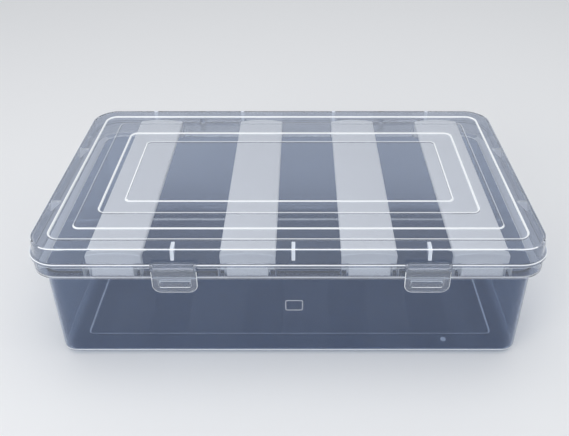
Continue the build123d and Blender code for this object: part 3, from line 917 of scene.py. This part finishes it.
badge_foot = rim_half[1] - LEDGE - (BAND_BOTTOM - BADGE_Z) * WALL_LEAN
badge = loft(
    "badge",
    [
        concentric(BADGE_HALF, BADGE_CORNER, 0.0, -WALL / 2),
        concentric(BADGE_HALF, BADGE_CORNER, 0.0, BADGE_PROUD, BADGE_ROUND),
        concentric(BADGE_HALF, BADGE_CORNER, BADGE_LINE, BADGE_PROUD, BADGE_ROUND),
        concentric(BADGE_HALF, BADGE_CORNER, BADGE_LINE + BADGE_DRAFT, BADGE_FIELD),
    ],
)
tray_shell = combine(tray_shell, upright(badge, BADGE_X, -badge_foot, BADGE_Z))
gate_half = (GATE_RADIUS, GATE_RADIUS)
gate_dot = loft(
    "gate_dot",
    [
        concentric(gate_half, GATE_RADIUS, 0.0, RING_TOP - FLOOR / 2),
        concentric(gate_half, GATE_RADIUS, 0.0, RING_TOP + GATE_HEIGHT, GATE_ROUND),
        concentric(gate_half, GATE_RADIUS, GATE_FLAT, RING_TOP + GATE_HEIGHT),
    ],
)
# the whole gate dot gets the painted highlight: a painted glint
refinish(gate_dot, PAINTED_HIGHLIGHT, lambda centre, normal: True)
gate_dot.data.transform(Matrix.Translation(Vector((GATE_X, GATE_INSET - rim_half[1] + outer_foot, 0)) * MM))
tray_shell = combine(tray_shell, gate_dot)
print("tray faces with badge and gate dot:", len(tray_shell.data.polygons))

# %% The tray's last finishes
BAND_MARGIN, RIB_MARGIN, RIB_SPAN, SIDEWAYS = 0.5, 1.0, 25.0, 0.9

# the band gets the rim finish: the tray's plastic painted lighter
refinish(tray_shell, LIGHTENED_RIM, lambda centre, normal: centre.z > BAND_BOTTOM + BAND_MARGIN, FACE)
refinish(
    tray_shell,
    SATIN,
    lambda centre, normal: abs(normal.x) > SIDEWAYS
    and LEDGE_TOP < centre.z < RIB_TOP
    and rim_half[1] - LEDGE - WALL - RIB_MARGIN < abs(centre.y) < rim_half[1] - WALL
    and abs(centre.x) < BAR_X[3] + RIB_SPAN,
    LIGHTENED_RIM,
)
tray_shell.name = "tray_moulding"
dress(tray_shell, tray_plastic, "tray", "tray")

# %% [markdown]
# ## The lid's details
# The bead is notched where hinges and latches pass. Clips reach back to the hinges' pins, and
# in front two knuckles take the latches' pins. Each is a tube on a root, bored through and
# cut open on one side, because it has to snap over its pin.

# %% Notches
NOTCH_GAP, NOTCH_DROP = 0.5, 2.0
LATCH_X, LATCH_WIDTH = (-73.4, 90.1), 29.4

notches = []
notch_far = rim_half[1] + 2 * LIP_PROUD
for middle, width, side in (
    (-HINGE_X, HINGE_LENGTH, 1),
    (HINGE_X, HINGE_LENGTH, 1),
    (LATCH_X[0], LATCH_WIDTH, -1),
    (LATCH_X[1], LATCH_WIDTH, -1),
):
    outline = box_outline(side, rim_half[1], notch_far, LID_BASE - NOTCH_DROP, LID_BASE + LIP_RISE)
    notches.append(block("notch", outline, *span(middle, width + 2 * NOTCH_GAP), edge=0))
lid_shell = combine(lid_shell, gather(notches), "DIFFERENCE")
print("lid faces with notches:", len(lid_shell.data.polygons))

# %% Clips and knuckles
CLIP_RADIUS, CLIP_ROOT, CLIP_MOUTH, CLIP_ANGLE = 2.99, 4.0, 2.4, math.radians(-60.0)
KNUCKLE_RADIUS, KNUCKLE_ROOT, KNUCKLE_MOUTH, KNUCKLE_ANGLE = 1.95, 2.4, 1.4, math.radians(150.0)
LATCH_PIN, LATCH_EAR, LATCH_EAR_GAP = 0.9, 1.5, 0.3
PIN_GAP, RING_STEPS = 0.08, 40
latch_axis = axis_place("latch_left_hinge")


def snap_ring(middle, length, side, centre, radius, pin, mouth, angle, rise):
    """A ring on a root, at the lid's front, -1, or back, 1. It is open on one side, to snap over a pin."""
    skirt = side * (rim_half[1] - LID_WALL / 2)
    root = [
        (skirt, LID_BASE),
        (skirt, LID_BASE + rise),
        (centre[0], centre[1] + radius),
        (centre[0] - side * radius / 2, LID_BASE),
    ]
    start, end = span(middle, length)
    ring = block("ring", circle(centre, radius, RING_STEPS), start, end, edge=0)
    ring = combine(ring, block("root", root, start, end, edge=0))
    out = Vector((math.cos(angle), math.sin(angle)))
    across = Vector((-out.y, out.x)) * mouth / 2
    near, far = Vector(centre), Vector(centre) + out * 2 * radius
    gap = [tuple(corner) for corner in (near - across, far - across, far + across, near + across)]
    for name, outline in (("bore", circle(centre, pin + PIN_GAP, RING_STEPS)), ("mouth", gap)):
        ring = combine(ring, block(name, outline, start - OVERCUT, end + OVERCUT, edge=0), "DIFFERENCE")
    return ring


clip_length = (HINGE_LENGTH - 3 * EAR_THICKNESS) / 2 - 2 * EAR_GAP
clip_places = [x for middle in (-HINGE_X, HINGE_X) for x in span(middle, half_span)]
clip = (hinge, CLIP_RADIUS, HINGE_PIN, CLIP_MOUTH, CLIP_ANGLE, CLIP_ROOT)
knuckle_length = LATCH_WIDTH - 2 * LATCH_EAR - 2 * LATCH_EAR_GAP
knuckle = (latch_axis, KNUCKLE_RADIUS, LATCH_PIN, KNUCKLE_MOUTH, KNUCKLE_ANGLE, KNUCKLE_ROOT)
rings = [snap_ring(x, clip_length, 1, *clip) for x in clip_places]
rings += [snap_ring(x, knuckle_length, -1, *knuckle) for x in LATCH_X]
lid_shell = combine(lid_shell, gather(rings))
print("clips and knuckles:", len(rings))

# %% [markdown]
# ## Ribs and cheeks of the lid
# Behind the lid's front edge stand three short ribs that stiffen the corner. They get the
# painted highlight finish all over, so end-on they look like white pills. The short sides have
# two satin ribs each, and on the back a small cheek stands at each end of each hinge, also
# painted highlight all over. All are outlines drawn out to a few millimetres. Those of the
# short sides are made like the others and then turned.

# %% Corner ribs, side ribs and cheeks
RIB_X, CORNER_RIB, CORNER_RIB_ROUND = (-74.1, 3.5, 90.9), 2.4, 0.6
SIDE_RIB_Y, SIDE_RIB_ROUND = (-44.0, 32.0), 0.5
RIB_REACH, RIB_DROP, RIB_NOSE, RIB_TIP = 8.0, 8.0, 0.6, 0.9
CHEEK_X, CHEEK, CHEEK_PROUD, CHEEK_ROUND = (-119.1, -43.2, 36.8, 118.1), 2.8, 1.0, 0.4
CHEEK_TOP_OUT, CHEEK_TOP_IN = 1.6, 1.0


def rib_outline(skirt):
    """The side of a corner rib, under the lid's top and inside a skirt at that distance in front."""
    root = -skirt + LID_WALL / 2
    tip = root - (RIB_DROP + PLATE) * flare
    return [
        (root, under + PLATE / 2),
        (root + RIB_REACH, under + PLATE / 2),
        (root + RIB_REACH, under - RIB_NOSE),
        (tip + RIB_TIP, under - RIB_DROP),
        (tip, under - RIB_DROP),
    ]


def lid_rib(name, skirt, middle, *look):
    """A rib under the lid's top, at a place in X, with a block's edge and finishes."""
    return block(name, rib_outline(skirt), *span(middle, CORNER_RIB), *look)


lid_ribs = [lid_rib("corner_rib", lid_half[1], x, CORNER_RIB_ROUND, PAINTED_HIGHLIGHT) for x in RIB_X]
for quarter in (1, -1):
    for y in SIDE_RIB_Y:
        rib = lid_rib("side_rib", lid_half[0], y * quarter, SIDE_RIB_ROUND, SATIN, SATIN)
        rib.data.transform(Matrix.Rotation(quarter * math.pi / 2, 4, "Z"))
        lid_ribs.append(rib)
cheek_outline = [
    (rim_half[1] - LID_WALL / 2, LID_BASE + LIP_RISE),
    (rim_half[1] + CHEEK_PROUD, LID_BASE + LIP_RISE),
    (rim_half[1] + CHEEK_PROUD / 2, LID_TOP - CHEEK_TOP_OUT),
    (rim_half[1] - LID_FLARE - LID_WALL / 2, LID_TOP - CHEEK_TOP_IN),
]
cheeks = [block("cheek", cheek_outline, *span(x, CHEEK), CHEEK_ROUND, PAINTED_HIGHLIGHT) for x in CHEEK_X]
lid_shell = combine(lid_shell, gather(lid_ribs + cheeks))
lid_shell.name = "lid_moulding"
dress(lid_shell, lid_plastic, "lid", "lid")

# %% [markdown]
# ## Latches
# Each latch is a small dish with a raised border, so that a finger can pull it. It hangs by
# its own pin from the lid, and its hook catches under the tray's rim. The dish is a loft that
# is stood up. Its border gets a painted highlight at the sides and below, and so do the hook's
# bevels. Its middle and its top are made clear again, as they are in the photograph.

# %% The latch's outline
LATCH_THICKNESS, LATCH_BAND_GAP, LATCH_BELOW, SHOULDER_DROP = 1.5, 0.75, 8.8, 2.6
LATCH_CORNER, LATCH_TOP_CORNER, LATCH_LEAST_CORNER = 6.0, 1.0, 0.3
BORDER, BORDER_PROUD, DISH_MARGIN, DISH_PROUD = 1.2, 0.8, 4.2, 0.4
BACK_INSET, DISH_INSET = 0.8, 0.6
inner = rim_half[1] + LATCH_BAND_GAP
outer = inner + LATCH_THICKNESS
shoulder = latch_axis[1] - SHOULDER_DROP
plate_low = BAND_BOTTOM - LATCH_BELOW
plate_half = (LATCH_WIDTH / 2, (shoulder - plate_low) / 2)


def plate_loop(inset, depth, edge=0.0):
    """A loop of the latch's plate, whose lower corners are rounder than its upper ones."""
    front, back = (max(corner - inset, LATCH_LEAST_CORNER) for corner in (LATCH_CORNER, LATCH_TOP_CORNER))
    return (plate_half[0] - inset, plate_half[1] - inset, front, back, depth, edge)


plate_loops = [
    plate_loop(BACK_INSET, inner),
    plate_loop(0.0, inner, -0.4),
    plate_loop(0.0, outer + BORDER_PROUD, 0.35),
    plate_loop(BORDER, outer + BORDER_PROUD, -0.3),
    plate_loop(BORDER, outer + DISH_PROUD, -0.15),
    plate_loop(DISH_MARGIN, outer + DISH_PROUD, 0.2),
    plate_loop(DISH_MARGIN, outer, -0.2),
    plate_loop(DISH_MARGIN + DISH_INSET, outer),
]
print("latch plate, mm:", [round(2 * side, 1) for side in plate_half])

# %% Latch plates, ears, pins and hooks
EAR_SIZE, EAR_ROUND, EAR_STEPS = 1.95, 0.2, 24
HOOK_WIDTH, HOOK_REACH, HOOK_HEIGHT, HOOK_TIP, HOOK_GAP, HOOK_ROUND = 20.0, 1.0, 2.4, 1.0, 0.3, 0.3
TOP_CLEAR, SIDE_CLEAR, LOW_CLEAR = 0.5, 0.1, 0.3

ear_points = [p for p in circle(latch_axis, EAR_SIZE, EAR_STEPS) if p[1] >= latch_axis[1] - LEVEL]
ear_points += [(-outer, shoulder - EAR_SIZE), (-inner, shoulder - EAR_SIZE)]
hook_top = BAND_BOTTOM - HOOK_GAP
hook_outline = [
    (-inner - LATCH_THICKNESS / 2, hook_top),
    (-rim_half[1] + HOOK_REACH, hook_top),
    (-rim_half[1] + HOOK_REACH, hook_top - HOOK_TIP),
    (-inner - LATCH_THICKNESS / 2, hook_top - HOOK_HEIGHT),
]
dish_half, dish_low = plate_half[0] - DISH_MARGIN, plate_low + DISH_MARGIN
pin_outline = circle(latch_axis, LATCH_PIN, EAR_STEPS)

for middle, body in zip(LATCH_X, ("latch_left", "latch_right")):
    plate = upright(loft(body + "_moulding", plate_loops), middle, 0, (shoulder + plate_low) / 2)
    refinish(
        plate,
        FACE,
        lambda centre, normal: centre.z > shoulder - BORDER - TOP_CLEAR
        or (abs(centre.x - middle) <= dish_half + SIDE_CLEAR and centre.z > dish_low + LOW_CLEAR),
    )
    ears = [
        block("latch_ear", ear_points, *span(x, LATCH_EAR), EAR_ROUND, edge_finish=FACE)
        for x in span(middle, LATCH_WIDTH - LATCH_EAR)
    ]
    pin = block("latch_pin", pin_outline, *span(middle, LATCH_WIDTH - LATCH_EAR), edge=0)
    hook = block("hook", hook_outline, *span(middle, HOOK_WIDTH), HOOK_ROUND)
    for detail in (gather(ears), pin, hook):
        plate = combine(plate, detail)
    dress(plate, latch_plastic, body, body)

# %% [markdown]
# ## Bars
# Each bar is a low arched beam on two feet. On the real box it is one hollow moulding in milky
# plastic, closed from below by a flat cover. Its section is drawn once with rounded corners
# and swept from front to back. At both ends the section shrinks a little, which rounds the
# end's edge. The lower corners have a radius larger than that, or the end would cross itself.

# %% An arched beam, swept between rounded ends
BAR_WALL, BEAM_HEIGHT, BEAM_CROWN, BEAM_LEAN = 1.4, 5.6, 1.8, 0.6
BEAM_EDGE, BEAM_LOW_EDGE, BEAM_END = 2.4, 1.0, 0.8
ARCH_SHARES = (0.7, 0.45, 0.2, -0.2, -0.45, -0.7)
OUTLINE_STEPS, END_STEPS = 6, 5
bar_low, bar_high = (corner / MM for corner in bar_boxes[0])
bar_end = bar_high.y
beam_bottom = bar_high.z - BEAM_HEIGHT


def rounded_outline(corners):
    """A closed outline from corners, each with its radius, as plain points."""
    points = []
    for index, (x, z, radius) in enumerate(corners):
        here = Vector((x, z))
        back = Vector(corners[index - 1][:2]) - here
        forth = Vector(corners[(index + 1) % len(corners)][:2]) - here
        turn = math.pi - back.angle(forth)
        if not radius:
            points.append(here)
            continue
        reach = min(radius * math.tan(turn / 2), RUN_SHARE * back.length, RUN_SHARE * forth.length)
        start, end = here + back.normalized() * reach, here + forth.normalized() * reach
        points += arc(start, here, end, turn, OUTLINE_STEPS)
    return points


def beam_outline(bottom, inset, edge):
    """The beam's section, moved inwards: a low arch over two sides that lean in below."""
    half = BAR_HALF - inset
    foot = half - BEAM_LEAN
    shoulder = bar_high.z - BEAM_CROWN - inset
    arch = [(half * share, shoulder + BEAM_CROWN * (1 - share * share), 0) for share in ARCH_SHARES]
    low_corners = [(-foot, bottom, BEAM_LOW_EDGE), (foot, bottom, BEAM_LOW_EDGE)]
    return rounded_outline([*low_corners, (half, shoulder, edge), *arch, (-half, shoulder, edge)])


def swept(name, outline, end, end_round):
    """An outline in X and Z, swept along Y, with rounded edges at both ends."""
    count = len(outline)
    inwards = []
    for index in range(count):
        along = outline[(index + 1) % count] - outline[index - 1]
        inwards.append(Vector((-along.y, along.x)).normalized())
    first = 0 if end_round else END_STEPS - 1
    turns = [step / (END_STEPS - 1) * math.pi / 2 for step in range(first, END_STEPS)]
    stations = [(end_round * (1 - math.sin(turn)), -end + end_round * (1 - math.cos(turn))) for turn in turns]
    stations += [(inset, -y) for inset, y in reversed(stations)]
    shape = bmesh.new()
    rings = []
    for inset, y in stations:
        ring = [point + inward * inset for point, inward in zip(outline, inwards)]
        rings.append([shape.verts.new(Vector((point.x, y, point.y)) * MM) for point in ring])
    for near, far in zip(rings, rings[1:]):
        for here in range(count):
            after = (here + 1) % count
            shape.faces.new((near[here], near[after], far[after], far[here]))
    for last in (rings[0], rings[-1]):
        shape.faces.new(last)
    return from_shape(name, shape)


bar = swept("bar", beam_outline(beam_bottom, 0.0, BEAM_EDGE), bar_end, BEAM_END)
print("beam faces:", len(bar.data.polygons))

# %% [markdown]
# ## Feet, tongues and the hollow
# At each end a foot comes down just inside the tray's wall, and its upper part reaches out as
# far as the beam. Under that a narrower tongue lies over the ledge, between the pocket ribs,
# and ends near the band, as in the photograph. The hollow is cut out again, so that the piece
# has a real wall. All four bars are one shape, so one is made and copied. The covers keep the
# model's own meshes.

# %% Feet and tongues
FOOT, FOOT_ROUND, TOE_TOP, BAND_CLEARANCE = 3.0, 0.3, 84.0, 0.7
FOOT_OVERLAP, TIP_INSET, STEP_DROP, TONGUE_INSET, TONGUE_RAISE = 0.2, 0.1, 0.5, 0.4, 0.01
COVER, COVER_REBATE = 1.2, 0.7
foot_half = BAR_HALF - BEAM_LEAN
foot_out = rim_half[1] - WALL - LEDGE - POCKET_GAP
foot_in = foot_out - FOOT
toe_end = rim_half[1] - WALL - BAND_CLEARANCE
ceiling = beam_bottom + COVER
low, high, tip, step = bar_low.z, ceiling + FOOT_OVERLAP, bar_end - TIP_INSET, TOE_TOP - STEP_DROP
foot_corners = ((foot_in, low), (foot_out, low), (foot_out, step), (tip, step), (tip, high), (foot_in, high))

for side in (-1, 1):
    foot_outline = [(side * y, z) for y, z in foot_corners]
    bar = combine(bar, block("foot", foot_outline, -foot_half, foot_half, FOOT_ROUND))
    tongue_outline = box_outline(side, foot_in + TONGUE_INSET, toe_end, low + TONGUE_RAISE, TOE_TOP)
    bar = combine(bar, block("tongue", tongue_outline, -TONGUE_HALF, TONGUE_HALF, FOOT_ROUND))
print("bar faces with feet and tongues:", len(bar.data.polygons))

# %% The hollow, and four bars
hollow = swept("hollow", beam_outline(ceiling, BAR_WALL, BEAM_EDGE - BAR_WALL), bar_end - BAR_WALL, 0)
bar = combine(bar, hollow, "DIFFERENCE")
rebate_half = foot_half - BAR_WALL + COVER_REBATE
rebate_outline = box_outline(1, -foot_in, foot_in, beam_bottom - OVERCUT, ceiling)
bar = combine(bar, block("rebate", rebate_outline, -rebate_half, rebate_half, edge=0), "DIFFERENCE")
refinish(bar, FACE, lambda centre, normal: True)
for number, x in enumerate(BAR_X, start=1):
    piece = in_scene(f"bar_{number}_moulding", bar.data.copy())
    piece.data.transform(Matrix.Translation((x * MM, 0, 0)))
    dress(piece, milky_plastic, f"bar_{number}", f"bar_{number}_shell")
    for material_slot in frame["nodes"][f"bar_{number}_cover"].material_slots:
        material_slot.material = milky_plastic
bpy.data.objects.remove(bar)
